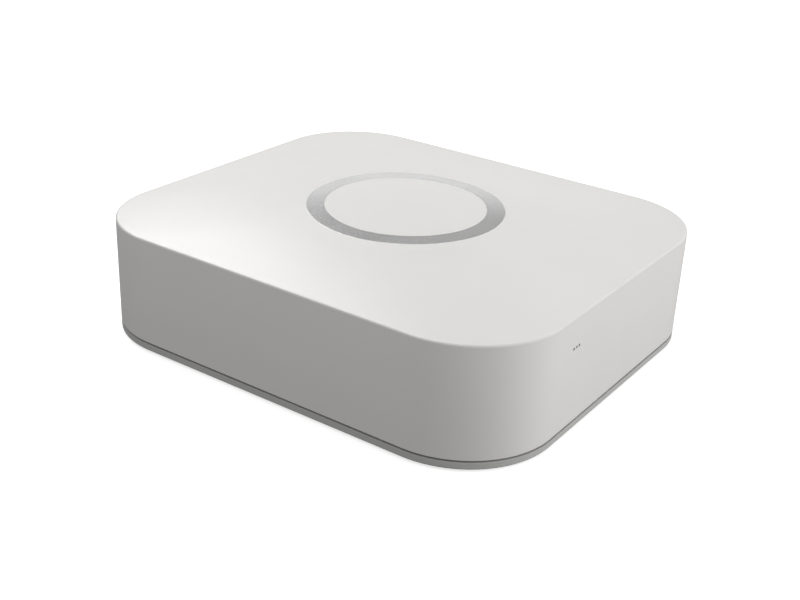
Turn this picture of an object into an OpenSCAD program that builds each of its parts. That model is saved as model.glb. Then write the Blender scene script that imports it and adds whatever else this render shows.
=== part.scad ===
// Smart home hub: a low white box with a crowned top, a metal ring, a sliding bottom cover and its electronics.
// Units are millimetres. The origin is the middle of the resting plane, -Y is the front, +Y the sockets.

/* [Enclosure] */
// Width across the front
body_w = 106; // [104:1:140]
// Depth from the front face to the rear face
body_d = 121; // [119:1:150]
// Height of the upper edge of the sides above the resting plane
edge_h = 29.9; // [27.5:0.1:40]
// Rise of the crowned top above that edge
crown_h = 3.3; // [1:0.1:5]
// Radius of the four upright corners
corner_r = 23; // [16:0.5:24]
// Radius of the fillet between the sides and the top
edge_fillet = 0.5; // [0.3:0.1:1.5]
// Thickness of the top shell
shell_wall = 2.2; // [1.6:0.1:2.6]
// Height of the shadow gap between the bottom cover and the top shell
shadow_gap = 0.5; // [0.3:0.1:1]

/* [Ring] */
// Inner radius of the metal ring
ring_inner_r = 20.2; // [12:0.1:22]
// Outer radius of the metal ring
ring_outer_r = 24.7; // [23:0.1:30]
// Depth of the ring's outer edge
ring_depth = 0.9; // [0.5:0.1:1]
// How far the ring lies below the surface around it
ring_recess = 0.03; // [0:0.01:0.3]

/* [Bottom cover] */
// Thickness of the bottom cover
cover_t = 1.8; // [1.6:0.1:3]
// Radius of the fillet along its lower edge
cover_fillet = 0.6; // [0.2:0.1:1]
// How far the feet stand below the cover
foot_h = 0.6; // [0.4:0.1:2]
// Radius of a foot
foot_r = 4.5; // [3:0.1:5]
// Depth of the recess that holds a foot
foot_seat = 0.6; // [0.3:0.1:0.8]
// Distance of a foot's centre from the side of the body
foot_side = 7; // [6:0.5:7.5]
// Distance of a foot's centre from the front or rear
foot_end = 26; // [24:0.5:40]
// Distance of a slide rail from the centre line
rail_x = 37; // [36:0.5:38]
// Length of a slide rail
rail_l = 82; // [40:1:84]
// Depth of a slide rail
rail_depth = 1; // [0.6:0.1:1.1]
// Width of a slide rail where it meets the chassis
rail_w = 4; // [3:0.1:4.5]
// Clearance around a slide rail
rail_gap = 0.2; // [0.1:0.05:0.3]

/* [Chassis] */
// Thickness of the chassis floor
floor_t = 1.8; // [1.2:0.1:2.4]
// How far the chassis hangs into the shadow gap
floor_drop = 0.3; // [0.1:0.1:0.4]
// Clearance between the chassis and the shell's inner faces
chassis_gap = 0.2; // [0.1:0.05:0.5]
// Thickness of the battery bay's walls
bay_wall = 1.5; // [1:0.1:2]
// Height of the board's pillars above the floor
board_lift = 2.6; // [2.4:0.1:4]

/* [Batteries] */
// Radius of a cell
cell_r = 7.25; // [7:0.05:7.5]
// Overall length of a cell with its contact nub
cell_l = 50.5; // [49:0.1:51]
// Gap between neighbouring cells
cell_gap = 0.6; // [0.3:0.1:1]
// Length that a contact spring fills
spring_l = 5; // [4:0.1:7]
// Radius of the spring wire
spring_wire_r = 0.3; // [0.2:0.05:0.4]

/* [Board] */
// Thickness of the circuit board
board_t = 1.6; // [1:0.1:2]
// Clearance between the board and the shell's inner faces
board_gap = 1; // [0.5:0.1:2]
// Width of the strip of board in front of the battery bay
front_strip = 10; // [9:0.5:14]

/* [Fasteners] */
// Distance of a case screw from the sides of the body
case_screw_inset = 13.5; // [13:0.1:14.5]
// Radius of a case screw's shank
case_screw_r = 1.25; // [1:0.05:1.5]
// Length of a case screw's shank
case_screw_l = 9; // [7:0.5:12]
// Radius of a case screw's head
case_head_r = 2.4; // [2:0.1:2.6]
// Radius of a board screw's shank
board_screw_r = 0.95; // [0.8:0.05:1.1]

/* [Sockets] */
// Place of the network socket across the rear
ethernet_x = -18; // [-20:0.5:-17]
// Width of the network socket
ethernet_w = 16; // [15:0.1:17]
// Depth of the network socket
ethernet_d = 21; // [18:0.5:22]
// Height of the network socket
ethernet_h = 13.5; // [13:0.1:14]
// Place of the twin USB socket across the rear
usb_x = 3.5; // [2:0.5:5]
// Width of the USB socket
usb_w = 14.5; // [14:0.1:15]
// Depth of the USB socket
usb_d = 17.5; // [15:0.5:19]
// Height of the USB socket
usb_h = 15.6; // [15:0.1:16]
// Place of the power inlet across the rear
dc_x = 24; // [22.5:0.5:25]
// Width of the power inlet
dc_w = 9; // [8.5:0.1:9.5]
// Depth of the power inlet
dc_d = 14; // [12:0.5:15]
// Height of the power inlet
dc_h = 11; // [10:0.1:12]
// Radius of the power inlet's barrel
dc_barrel_r = 3.2; // [2.8:0.05:3.4]
// Radius of the power inlet's pin
dc_pin_r = 1.05; // [0.6:0.05:1.3]
// How far the socket faces lie behind the rear face
socket_inset = 0.5; // [0:0.1:1]
// Clearance of a socket in the shell
socket_gap = 0.3; // [0.2:0.1:0.6]

/* [Reset button] */
// Place of the reset pinhole across the rear
reset_x = 14.8; // [13.5:0.1:15.5]
// Radius of the reset pinhole
pinhole_r = 0.9; // [0.6:0.05:1.1]
// Radius of the reset plunger
plunger_r = 1.25; // [1:0.05:1.5]
// Travel of the reset plunger
plunger_travel = 0.25; // [0.15:0.05:0.5]
// Running clearance around the reset plunger
plunger_gap = 0.05; // [0.02:0.01:0.1]

/* [Indicator] */
// Place of the middle indicator hole across the front
indicator_x = -21.9; // [-26:0.1:-12]
// Height of the indicator holes above the resting plane
indicator_z = 22.1; // [20:0.1:23]
// Spacing of the indicator holes
indicator_pitch = 1.2; // [1:0.1:2]
// Radius of an indicator hole
indicator_r = 0.35; // [0.25:0.05:0.45]

/* [Hidden] */
$fn = 64;

// Colours
WHITE = [0.93, 0.93, 0.92];
SILVER = [0.78, 0.78, 0.77];
CLEAR = [0.85, 0.9, 0.92];
GREY = [0.62, 0.62, 0.6];
DARK = [0.16, 0.16, 0.17];
STEEL = [0.72, 0.73, 0.75];
GREEN = [0.05, 0.3, 0.16];
GOLD = [0.85, 0.68, 0.35];

// How far a cutting shape runs past the face that it cuts
CUT = 1;

// Heights, from the resting plane up
cover_z = foot_h;
cover_top = cover_z + cover_t;
shell_z = cover_top + shadow_gap;
floor_z = shell_z - floor_drop;
floor_top = floor_z + floor_t;
board_z = floor_top + board_lift;
board_top = board_z + board_t;
roof_z = edge_h - shell_wall;

// Inner faces of the top shell
inner_x = body_w / 2 - shell_wall;
inner_y = body_d / 2 - shell_wall;
inner_r = corner_r - shell_wall;

// Crowned top: steps around a corner, rings from edge to centre, depth of its root in the shell
CROWN_STEPS = 16;
CROWN_RINGS = 9;
CROWN_ROOT = 0.4;
// Width and height of the tiny ledge around the crown's foot
CROWN_LEDGE = 0.05;
CROWN_STEP = 0.02;
// How round the crown's level lines become towards the centre: 1 is a full circle across the width
CROWN_ROUND = 0.95;

// Ring: mean half-size of the crown, and the height of the crown over a radius from the centre
crown_half = (body_w + body_d) / 4 - edge_fillet;
function crown_over(r) = edge_h + crown_h * (1 - pow(r / crown_half, 2));
ring_floor = crown_over(ring_outer_r) - ring_recess - ring_depth;
RING_GAP = 0.05;

// Battery bay: cells side by side, plates and springs at their ends
CELLS = 4;
PLATE_T = 0.4;
NUB_R = 2.7;
NUB_L = 1;
// Height of the embossed bump that a cell's nub rests on
BUMP = 0.8;
cell_pitch = 2 * cell_r + cell_gap;
bay_w = CELLS * cell_pitch;
bay_d = cell_l + BUMP + spring_l + 2 * PLATE_T;
// Slack of the bay around the board's window
WINDOW_GAP = 1;
board_front = -inner_y + board_gap;
bay_front = board_front + front_strip + WINDOW_GAP + bay_wall;
bay_rear = bay_front + bay_d;
bay_side = bay_w / 2 + bay_wall;
// Room below and above the cells
CELL_BELOW = 0.8;
CELL_ABOVE = 0.3;
cell_z = cover_top + CELL_BELOW + cell_r;
bay_roof = cell_z + cell_r + CELL_ABOVE;
// Narrow edge of a cell's can
CAN_EDGE = 0.5;

// Contact springs: coil radii at their wide and narrow ends, turns, steps in a turn, sides of the wire
SPRING_BASE_R = 4.6;
SPRING_TIP_R = 2.6;
SPRING_TURNS = 4;
SPRING_STEPS = 14;
SPRING_SIDES = 6;

// Contact plates and the solder tabs of the two end ones
PLATE_W = 11;
PLATE_H = 11;
TAB_W = 3;
TAB_L = 4;
TAB_GAP = 0.2;

// Slide rails keep clear of the bay, however wide the cells make it
RAIL_FROM_BAY = 0.5;
RAIL_ROOT = 0.5;
rail_place = max(rail_x, bay_w / 2 + RAIL_FROM_BAY + rail_depth + rail_w / 2);

// Case screws: pillar in the shell, boss on the chassis, head's counterbore
POST_R = 3.5;
BOSS_R = 4.5;
POST_FROM_BAY = 0.3;
post_x = max(body_w / 2 - case_screw_inset, bay_side + POST_FROM_BAY + POST_R);
post_y = body_d / 2 - case_screw_inset;
BOSS_BELOW_BOARD = 0.6;
HEAD_GAP = 0.3;
SHANK_GAP = 0.05;
CASE_HEAD_H = 1.7;
CASE_HEAD_SUNK = 0.5;
SCREW_END_GAP = 1;
DRIVE_SLOT = 0.5;
post_z = board_z - BOSS_BELOW_BOARD;
case_seat_z = floor_z + CASE_HEAD_H + CASE_HEAD_SUNK;

// Board screws
BOARD_BOSS_R = 2.6;
BOARD_HEAD_R = 1.9;
BOARD_HEAD_H = 1.3;
BOARD_SCREW_L = 3.6;
BOARD_SCREW_GAP = 0.2;
BOARD_SCREW_INSET = 6;
BOARD_SCREW_FROM_BAY = 5;
board_half_x = inner_x - board_gap;
BOARD_SCREWS = [
    for (side = [1, -1]) [side * (board_half_x - BOARD_SCREW_INSET), bay_rear + 10],
    for (side = [1, -1]) [side * (bay_side + BOARD_SCREW_FROM_BAY), bay_front + 17]
];
// Clearance of the board around a pillar
PILLAR_GAP = 0.6;

// Bottom cover: thumb grooves with an arrow behind them, label, clearances of label and feet
GRIP_GROOVES = 5;
GRIP_PITCH = 2.4;
GRIP_W = 26;
GRIP_DEPTH = 0.5;
GRIP_INSET = 16;
ARROW_W = 8;
ARROW_L = 5;
ARROW_GAP = 2;
grip_y = -body_d / 2 + GRIP_INSET;
LABEL = [44, 26, 0.15];
LABEL_Y = 8;
LABEL_GAP = 0.1;
FOOT_GAP = 0.05;

// Chip groups as rows of x, y and size. The processor group lies on its can's middle, x from there and y
// from the bay; the power group's x runs from the board's left edge
CHIP = [13, 13, 1.1];
PAD_W = 12;
SHIELD = [30, 19, 3.2];
SHIELD_X = 5.5;
SHIELD_FROM_BAY = 4;
PROCESSOR_X = -6;
MEMORY_CHIPS = [[7.5, 5.2, [9, 7, 1]], [7.5, 13.6, [8, 6, 1]]];
POWER_CHIPS = [[14, 6, [5, 5, 1]], [14, 14, [5, 6, 1.2]], [22, 7, [4, 4, 0.9]]];
CRYSTAL = [22, 14, [3.2, 2.5, 0.8]];
SOCKET_CRYSTAL = [5, 3.2, 1];
SOCKET_CRYSTAL_FROM_BAY = 6;
MAGNETICS = [13, 8, 5];
MAGNETICS_FROM_SOCKET = 6;
shield_y = bay_rear + SHIELD_FROM_BAY;
VENT_R = 0.6;

// Radios fill the strips of board beside the bay, a margin from the bay's window and from the edge
RADIO_IN = 1.5;
RADIO_OUT = 3.6;
RADIO_CAN_EDGE = 0.75;
window_side = bay_side + WINDOW_GAP;
RADIO = [board_half_x - window_side - RADIO_IN - RADIO_OUT, 22, 1];
RADIO_CAN = [RADIO.x - 2 * RADIO_CAN_EDGE, 15, 2.2];
RADIO_CAN_Y = 2.5;
radio_x = window_side + RADIO_IN + RADIO.x / 2;
radio_y = bay_rear - 20;

// Stamped antennas: length, height, width of the bent top strip, and the two legs
ANTENNA_L = 17;
ANTENNA_H = 8;
ANTENNA_STRIP = 4;
ANTENNA_INSET = 1.5;
ANTENNA_LEG = 1.2;
ANTENNA_LEG_PITCH = 4;
ANTENNA_BLADE_Z = 2;
antenna_y = bay_front + 14;

// Coils and the cans of the power supply
INDUCTOR = [7, 7, 3.6];
INDUCTOR_NOTCH_R = 1.1;
INDUCTOR_INSET = 16;
INDUCTOR_PITCH = 9;
CAPACITOR_R = 3;
CAPACITOR_H = 7.6;
CAPACITOR_GROOVE_Z = 6.4;
CAPACITOR_GROOVE = 0.2;
CAPACITOR_PITCH = 7.5;

// Sockets
socket_y = body_d / 2 - socket_inset;
SHEET = 0.3;

// Network socket: the opening for the plug and the two steps of its latch
ethernet_floor = board_top + SHEET;
PLUG_W = 11.9;
PLUG_H = 7.2;
PLUG_DEPTH = 14;
LATCH_W = 6.4;
LATCH_H = 1.5;
CATCH_W = 3.4;
CATCH_H = 1.5;
FACE_GAP = 0.4;
latch_z = ethernet_floor + 1.2;
plug_z = latch_z + CATCH_H + LATCH_H;
// Contact wires: count, spacing, width, thickness, reach back from the sockets' face and fall
CONTACTS = 8;
CONTACT_PITCH = 1.02;
CONTACT_W = 0.4;
CONTACT_T = 0.3;
CONTACT_FRONT = 2.5;
CONTACT_BACK = 10;
CONTACT_FALL = 1;

// USB sockets
USB_SHEET = 0.4;
USB_OPEN_W = 12.6;
USB_OPEN_H = 5.2;
USB_TONGUE_W = 11.1;
USB_TONGUE_T = 1.8;
USB_TONGUE_L = 9.4;
USB_BACK = 5;
USB_SILL = 1.6;
USB_TONGUE_TOP = 0.6;
USB_TONGUE_ROOT = 0.5;
USB_PINS = 4;
USB_PIN_PITCH = 2.5;
USB_PIN_W = 1;
USB_PIN_T = 0.15;
USB_PIN_SHORT = 1;
usb_z = [board_top + USB_SILL, board_top + usb_h - USB_SILL - USB_OPEN_H];

// Power inlet: its barrel stands as far below the top as from the sides
dc_z = board_top + dc_h - dc_w / 2;
DC_BARREL_L = 10;
DC_LEAF_W = 1.6;
DC_LEAF_T = 0.3;
DC_LEAF_SHORT = 2;
DC_PIN_L = DC_BARREL_L - 1;
DC_PIN_TIP = 0.6;
DC_PIN_POINT = 0.4;
capacitor_x = dc_x + dc_w / 2 + CAPACITOR_R + 1;
capacitor_y = socket_y - dc_d - CAPACITOR_R - 4;

// Reset button
SWITCH = [6, 4.2, 5];
SWITCH_BEHIND = 3;
switch_y = inner_y - SWITCH_BEHIND;
plunger_z = board_top + 2.6;
PLUNGER_OUT = 2;
PLUNGER_IN = 1.6;
// Free depth behind the plunger, past its travel
PLUNGER_SPARE = 0.4;

// Indicator: lamp on the board, clear pipe above it, ribs that hold the pipe
LED = [3.5, 2.8, 1.9];
PIPE_W = 5.2;
PIPE_D = 3.4;
PIPE_ABOVE = 1.2;
PIPE_GAP = 0.2;
PIPE_RIB_T = 1.2;
PIPE_RIB_DROP = 5;
PIPE_FROM_LED = 0.2;
TIP_GAP = 0.05;
TIP_BEHIND = 0.15;
TIP_ROOT = 0.5;
pipe_front = -inner_y + 0.1;
led_y = pipe_front + PIPE_D / 2;

// Points of a rounded rectangle, counter-clockwise, with the given steps in each corner
function rounded_outline(w, d, r, steps) = [
    for (corner = [0:3])
        for (i = [0:steps])
            let (
                a = 90 * (corner + i / steps),
                side_x = corner == 0 || corner == 3 ? 1 : -1,
                side_y = corner < 2 ? 1 : -1
            )
            [side_x * (w / 2 - r) + r * cos(a), side_y * (d / 2 - r) + r * sin(a)]
];

// One level line of a crowned top: t is 1 at its edge and falls to 0 at its centre
function level_line(w, d, r, t) =
    let (round_r = t * (r + (CROWN_ROUND * min(w, d) / 2 - r) * (1 - t)))
    rounded_outline(t * w, t * d, round_r, CROWN_STEPS);

// Faces that join rings of count points each, with caps on the first and last ring
function ring_faces(rings, count) = concat(
    [[for (i = [0:count - 1]) i]],
    [
        for (k = [0:rings - 2])
            for (i = [0:count - 1])
                let (j = (i + 1) % count, a = k * count, b = a + count)
                each [[a + i, b + i, b + j], [a + i, b + j, a + j]]
    ],
    [[for (i = [count - 1:-1:0]) (rings - 1) * count + i]]
);

// Crowned lid for a flat top of the given outline: it stands just inside that outline, its root sunk in the top
module crown_cap(w, d, r, rise) {
    inner_w = w - 2 * CROWN_LEDGE;
    inner_d = d - 2 * CROWN_LEDGE;
    inner_corner = r - CROWN_LEDGE;
    levels = [for (k = [0:CROWN_RINGS - 1]) 1 - k / CROWN_RINGS];
    rings = concat(
        [[for (p = level_line(inner_w, inner_d, inner_corner, 1)) [p.x, p.y, -CROWN_ROOT]]],
        [
            for (t = levels)
                let (z = CROWN_STEP + (rise - CROWN_STEP) * (1 - t * t))
                [for (p = level_line(inner_w, inner_d, inner_corner, t)) [p.x, p.y, z]]
        ]
    );
    points = [for (ring = rings) each ring];
    polyhedron(points, ring_faces(len(rings), len(rings[0])));
}

// Section through a wall of a rounded block, from the corner's axis out to the face
module edge_profile(r, h, top_r, bottom_r) {
    difference() {
        square([r, h]);
        if (top_r > 0) {
            difference() {
                translate([r - top_r, h - top_r]) square(top_r + CUT);
                translate([r - top_r, h - top_r]) circle(top_r);
            }
        }
        if (bottom_r > 0) {
            difference() {
                translate([r - bottom_r, -CUT]) square([bottom_r + CUT, bottom_r + CUT]);
                translate([r - bottom_r, bottom_r]) circle(bottom_r);
            }
        }
    }
}

// Block with four upright rounded corners and a fillet along its upper and lower edges
module rounded_block(w, d, h, r, top_r = 0, bottom_r = 0) {
    for (k = [0:3]) {
        across = k % 2 == 0 ? w : d;
        along = k % 2 == 0 ? d : w;
        rotate([0, 0, 90 * k]) {
            translate([across / 2 - r, 0, 0])
                rotate([90, 0, 0])
                    linear_extrude(along - 2 * r, center = true)
                        edge_profile(r, h, top_r, bottom_r);
            translate([across / 2 - r, along / 2 - r, 0])
                rotate_extrude(angle = 90)
                    edge_profile(r, h, top_r, bottom_r);
        }
    }
    translate([0, 0, h / 2]) cube([w - 2 * r, d - 2 * r, h], center = true);
}

// Cylinder that runs along +Y from its start
module y_cylinder(r, l) {
    rotate([-90, 0, 0]) cylinder(h = l, r = r);
}

// Box centred on x, from y to y + d and from z to z + h
module box_at(x, y, z, w, d, h) {
    translate([x - w / 2, y, z]) cube([w, d, h]);
}

// Places its children at the four points (+-x, +-y)
module four_places(x, y) {
    for (sx = [-1, 1])
        for (sy = [-1, 1])
            translate([sx * x, sy * y, 0]) children();
}

// Outline of a part that lies inside the shell with a clearance all round
module inner_plate(gap, z, t) {
    translate([0, 0, z]) rounded_block(2 * (inner_x - gap), 2 * (inner_y - gap), t, inner_r - gap);
}

module shell_outside() {
    translate([0, 0, shell_z])
        rounded_block(body_w, body_d, edge_h - shell_z, corner_r, top_r = edge_fillet);
    translate([0, 0, edge_h])
        crown_cap(body_w - 2 * edge_fillet, body_d - 2 * edge_fillet, corner_r - edge_fillet, crown_h);
}

module shell_inside() {
    translate([0, 0, shell_z - CUT])
        rounded_block(2 * inner_x, 2 * inner_y, roof_z - shell_z + CUT, inner_r);
    translate([0, 0, roof_z]) crown_cap(2 * inner_x, 2 * inner_y, inner_r, crown_h);
}

// Section of the ring and of its groove: the sloping top follows the crown
module ring_section(gap, rise) {
    polygon([
        [ring_inner_r - gap, ring_floor],
        [ring_outer_r + gap, ring_floor],
        [ring_outer_r + gap, crown_over(ring_outer_r) - ring_recess + rise],
        [ring_inner_r - gap, crown_over(ring_inner_r) - ring_recess + rise]
    ]);
}

module indicator_places() {
    for (i = [-1:1]) translate([indicator_x + i * indicator_pitch, 0, indicator_z]) children();
}

// Opening in the rear wall for a socket of the given place and size
module socket_opening(x, w, h) {
    box_at(
        x, inner_y - CUT, board_top - socket_gap,
        w + 2 * socket_gap, shell_wall + 2 * CUT, h + 2 * socket_gap
    );
}

module pipe_ribs() {
    for (side = [-1, 1])
        box_at(
            indicator_x + side * (PIPE_W / 2 + PIPE_GAP + PIPE_RIB_T / 2), -inner_y - CUT,
            indicator_z - PIPE_RIB_DROP, PIPE_RIB_T, PIPE_D + CUT, roof_z - indicator_z + PIPE_RIB_DROP + CUT
        );
}

module top_shell() {
    color(WHITE) difference() {
        union() {
            difference() {
                shell_outside();
                shell_inside();
            }
            four_places(post_x, post_y)
                translate([0, 0, post_z]) cylinder(h = roof_z + CUT - post_z, r = POST_R);
            pipe_ribs();
        }
        rotate_extrude() ring_section(RING_GAP, CUT);
        four_places(post_x, post_y)
            translate([0, 0, post_z - CUT])
                cylinder(h = case_screw_l + CUT, r = case_screw_r + SHANK_GAP);
        indicator_places()
            translate([0, -body_d / 2 - CUT, 0]) y_cylinder(indicator_r, shell_wall + 2 * CUT);
        socket_opening(ethernet_x, ethernet_w, ethernet_h);
        socket_opening(usb_x, usb_w, usb_h);
        socket_opening(dc_x, dc_w, dc_h);
        translate([reset_x, inner_y - CUT, plunger_z]) y_cylinder(pinhole_r, shell_wall + 2 * CUT);
    }
}

module ring_trim() {
    color(SILVER) rotate_extrude() ring_section(0, 0);
}

// Clear block with a sloping top that turns the light forward into three tips
module light_pipe() {
    pipe_z = board_top + LED.z + PIPE_FROM_LED;
    pipe_top = indicator_z + PIPE_ABOVE;
    tip_y = -body_d / 2 + TIP_BEHIND;
    color(CLEAR) {
        translate([indicator_x - PIPE_W / 2, 0, 0])
            rotate([90, 0, 90])
                linear_extrude(PIPE_W)
                    polygon([
                        [pipe_front, pipe_z],
                        [pipe_front + PIPE_D, pipe_z],
                        [pipe_front + PIPE_D, pipe_top - PIPE_D],
                        [pipe_front, pipe_top]
                    ]);
        indicator_places()
            translate([0, tip_y, 0]) y_cylinder(indicator_r - TIP_GAP, pipe_front - tip_y + TIP_ROOT);
    }
}

// Dovetail section of a slide rail, hanging from height top, grown by a clearance
module rail_section(top, gap) {
    bottom = floor_z - rail_depth - gap;
    half_top = rail_w / 2 + gap + floor_z - top;
    half_bottom = rail_w / 2 + gap + floor_z - bottom;
    polygon([[-half_top, top], [half_top, top], [half_bottom, bottom], [-half_bottom, bottom]]);
}

module slide_rails() {
    for (side = [-1, 1])
        translate([side * rail_place, 0, 0])
            rotate([90, 0, 0]) linear_extrude(rail_l, center = true) rail_section(floor_z + RAIL_ROOT, 0);
}

// Walls and roof of the battery bay
module bay_box() {
    box_at(
        0, bay_front - bay_wall, floor_z,
        2 * bay_side, bay_d + 2 * bay_wall, bay_roof + bay_wall - floor_z
    );
}

// Slots in the bay's rear wall for the solder tabs of the two end contacts
module tab_slots() {
    for (side = [-1, 1])
        box_at(
            side * (bay_w - cell_pitch) / 2, bay_rear - CUT, board_top - TAB_GAP / 2,
            TAB_W + 2 * TAB_GAP, bay_wall + 2 * CUT, PLATE_T + TAB_GAP
        );
}

module chassis() {
    color(DARK) difference() {
        union() {
            inner_plate(chassis_gap, floor_z, floor_t);
            bay_box();
            slide_rails();
            four_places(post_x, post_y)
                translate([0, 0, floor_z]) cylinder(h = post_z - floor_z, r = BOSS_R);
            for (p = BOARD_SCREWS)
                translate([p.x, p.y, floor_z]) cylinder(h = board_z - floor_z, r = BOARD_BOSS_R);
        }
        box_at(0, bay_front, floor_z - CUT, bay_w, bay_d, bay_roof - floor_z + CUT);
        tab_slots();
        four_places(post_x, post_y) {
            translate([0, 0, floor_z - CUT])
                cylinder(h = case_seat_z - floor_z + CUT, r = case_head_r + HEAD_GAP);
            translate([0, 0, floor_z]) cylinder(h = post_z - floor_z + CUT, r = case_screw_r + HEAD_GAP);
        }
        for (p = BOARD_SCREWS)
            translate([p.x, p.y, board_top - BOARD_SCREW_L])
                cylinder(h = BOARD_SCREW_L, r = board_screw_r + SHANK_GAP);
    }
}

// Thumb grooves and an arrow, both pointing the way the cover slides
module cover_grip() {
    for (i = [0:GRIP_GROOVES - 1])
        box_at(0, grip_y + i * GRIP_PITCH, cover_z - CUT, GRIP_W, GRIP_PITCH / 2, GRIP_DEPTH + CUT);
    translate([0, grip_y + GRIP_GROOVES * GRIP_PITCH + ARROW_GAP, cover_z - CUT])
        linear_extrude(GRIP_DEPTH + CUT)
            polygon([[-ARROW_W / 2, ARROW_L], [0, 0], [ARROW_W / 2, ARROW_L]]);
}

module bottom_cover() {
    color(GREY) difference() {
        translate([0, 0, cover_z])
            rounded_block(body_w, body_d, cover_t, corner_r, bottom_r = cover_fillet);
        for (side = [-1, 1])
            translate([side * rail_place, -rail_l / 2 - rail_gap, 0])
                rotate([90, 0, 180])
                    linear_extrude(body_d) rail_section(cover_top + rail_gap, rail_gap);
        four_places(body_w / 2 - foot_side, body_d / 2 - foot_end)
            translate([0, 0, cover_z - CUT]) cylinder(h = foot_seat + CUT, r = foot_r + FOOT_GAP);
        cover_grip();
        box_at(
            0, LABEL_Y - LABEL_GAP, cover_z - CUT,
            LABEL.x + 2 * LABEL_GAP, LABEL.y + 2 * LABEL_GAP, LABEL.z + CUT
        );
    }
}

module feet() {
    color(DARK)
        four_places(body_w / 2 - foot_side, body_d / 2 - foot_end)
            cylinder(h = foot_h + foot_seat, r = foot_r);
}

module rating_label() {
    color("white") box_at(0, LABEL_Y, cover_z, LABEL.x, LABEL.y, LABEL.z);
}

// Centre of each cell across the bay, and whether its nub points to the rear
function cell_x(i) = (i - (CELLS - 1) / 2) * cell_pitch;
function nub_rear(i) = i % 2 == 0;

// Places its children at a cell, turned so that +Y runs from its spring to its nub
module cell_place(i) {
    translate([cell_x(i), nub_rear(i) ? bay_front : bay_rear, cell_z])
        rotate([0, 0, nub_rear(i) ? 0 : 180])
            children();
}

module battery_cells() {
    can_l = cell_l - NUB_L;
    color([0.2, 0.22, 0.25])
        for (i = [0:CELLS - 1])
            cell_place(i)
                translate([0, PLATE_T + spring_l, 0])
                    rotate([-90, 0, 0])
                        rotate_extrude()
                            polygon([
                                [0, 0], [cell_r - CAN_EDGE, 0], [cell_r, CAN_EDGE],
                                [cell_r, can_l - CAN_EDGE], [cell_r - CAN_EDGE, can_l],
                                [NUB_R, can_l], [NUB_R, cell_l], [0, cell_l]
                            ]);
}

// Conical coil spring along +Y: a round wire swept on a narrowing helix
function spring_ring(k) =
    let (
        share = k / (SPRING_TURNS * SPRING_STEPS),
        a = 360 * k / SPRING_STEPS,
        r = SPRING_BASE_R + (SPRING_TIP_R - SPRING_BASE_R) * share,
        y = PLATE_T + spring_wire_r + (spring_l - 2 * spring_wire_r) * share
    )
    [
        for (s = [0:SPRING_SIDES - 1])
            let (b = 360 * s / SPRING_SIDES, out = r + spring_wire_r * cos(b))
            [out * cos(a), y + spring_wire_r * sin(b), out * sin(a)]
    ];

module coil_spring() {
    rings = [for (k = [0:SPRING_TURNS * SPRING_STEPS]) spring_ring(k)];
    polyhedron([for (ring = rings) each ring], ring_faces(len(rings), SPRING_SIDES));
}

module battery_springs() {
    color(STEEL)
        for (i = [0:CELLS - 1])
            cell_place(i) coil_spring();
}

// Contact plates: single ones at the ends of the rear wall, shared ones between the cells they join
module contact_plate(x, w, y) {
    box_at(x, y, cell_z - PLATE_H / 2, w, PLATE_T, PLATE_H);
}

module battery_plates() {
    shared_w = cell_pitch + PLATE_W;
    rear_y = bay_rear - PLATE_T;
    color(STEEL) {
        for (i = [0, 2]) contact_plate((cell_x(i) + cell_x(i + 1)) / 2, shared_w, bay_front);
        contact_plate((cell_x(1) + cell_x(2)) / 2, shared_w, rear_y);
        for (i = [0, 3]) {
            contact_plate(cell_x(i), PLATE_W, rear_y);
            box_at(cell_x(i), rear_y, board_top, TAB_W, TAB_L, PLATE_T);
        }
        for (i = [0:CELLS - 1])
            cell_place(i)
                translate([0, bay_d - PLATE_T - BUMP, 0]) y_cylinder(NUB_R - CAN_EDGE, BUMP + PLATE_T / 2);
    }
}

module main_board() {
    color(GREEN) difference() {
        inner_plate(board_gap, board_z, board_t);
        box_at(
            0, bay_front - bay_wall - WINDOW_GAP, board_z - CUT,
            2 * window_side, bay_d + 2 * (bay_wall + WINDOW_GAP), board_t + 2 * CUT
        );
        four_places(post_x, post_y)
            translate([0, 0, board_z - CUT]) cylinder(h = board_t + 2 * CUT, r = POST_R + PILLAR_GAP);
        for (p = BOARD_SCREWS)
            translate([p.x, p.y, board_z - CUT])
                cylinder(h = board_t + 2 * CUT, r = board_screw_r + BOARD_SCREW_GAP);
    }
}

module on_board(x, y) {
    translate([x, y, board_top]) children();
}

// Chip package standing on the board, centred on its place
module chip(size) {
    translate([-size.x / 2, -size.y / 2, 0]) cube(size);
}

// Processor group behind the battery bay
module processor() {
    color(DARK) on_board(SHIELD_X + PROCESSOR_X, shield_y + SHIELD.y / 2) chip(CHIP);
}

module thermal_pad() {
    color([0.55, 0.6, 0.7])
        translate([0, 0, CHIP.z])
            on_board(SHIELD_X + PROCESSOR_X, shield_y + SHIELD.y / 2)
                chip([PAD_W, PAD_W, SHIELD.z - SHEET - CHIP.z]);
}

module memory_chips() {
    color(DARK)
        for (c = MEMORY_CHIPS) on_board(SHIELD_X + c[0], shield_y + c[1]) chip(c[2]);
}

// Drawn can, open below, with rows of small vents
module shield_can(size, rows, columns) {
    pitch = [size.x / (columns + 1), size.y / (rows + 1)];
    difference() {
        chip(size);
        translate([0, 0, -CUT]) chip([size.x - 2 * SHEET, size.y - 2 * SHEET, size.z - SHEET + CUT]);
        for (i = [1:columns])
            for (j = [1:rows])
                translate([i * pitch.x - size.x / 2, j * pitch.y - size.y / 2, 0])
                    cylinder(h = size.z + CUT, r = VENT_R);
    }
}

module processor_shield() {
    color(STEEL) on_board(SHIELD_X, shield_y + SHIELD.y / 2) shield_can(SHIELD, 3, 6);
}

module power_chips() {
    color(DARK)
        for (c = POWER_CHIPS) on_board(-board_half_x + c[0], bay_rear + c[1]) chip(c[2]);
}

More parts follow.
